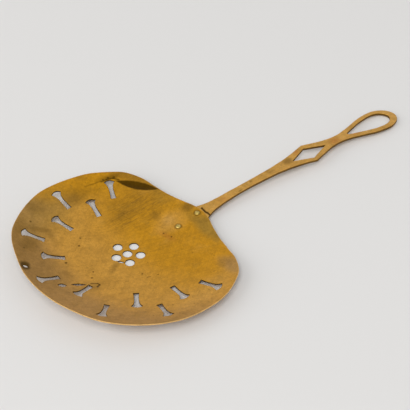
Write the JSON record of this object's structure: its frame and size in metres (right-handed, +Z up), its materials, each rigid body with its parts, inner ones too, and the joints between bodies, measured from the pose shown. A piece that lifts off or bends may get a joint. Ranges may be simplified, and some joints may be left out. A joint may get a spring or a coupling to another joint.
{
  "type": "slotted spoon",
  "caption": "Flat-dished brass skimmer with a scalloped bowl, radial slots and drain holes, riveted to a flat handle with a diamond opening and a hanging loop.",
  "frame": {"origin": "on the table, midway between the bowl's far lip and the end of the hanging loop", "axes": "+X along the spoon from the bowl to the hanging loop, +Z up out of the dish"},
  "size_m": [0.3586, 0.179, 0.021],
  "materials": {
    "sheet_brass": "aged, lightly polished",
    "bar_brass": "aged, lightly polished",
    "rivet_brass": "aged"
  },
  "bodies": {
    "root": {"bowl": "sheet_brass", "handle": "bar_brass", "neck_rivet": "rivet_brass", "tongue_rivet": "rivet_brass"}
  },
  "joints": []
}
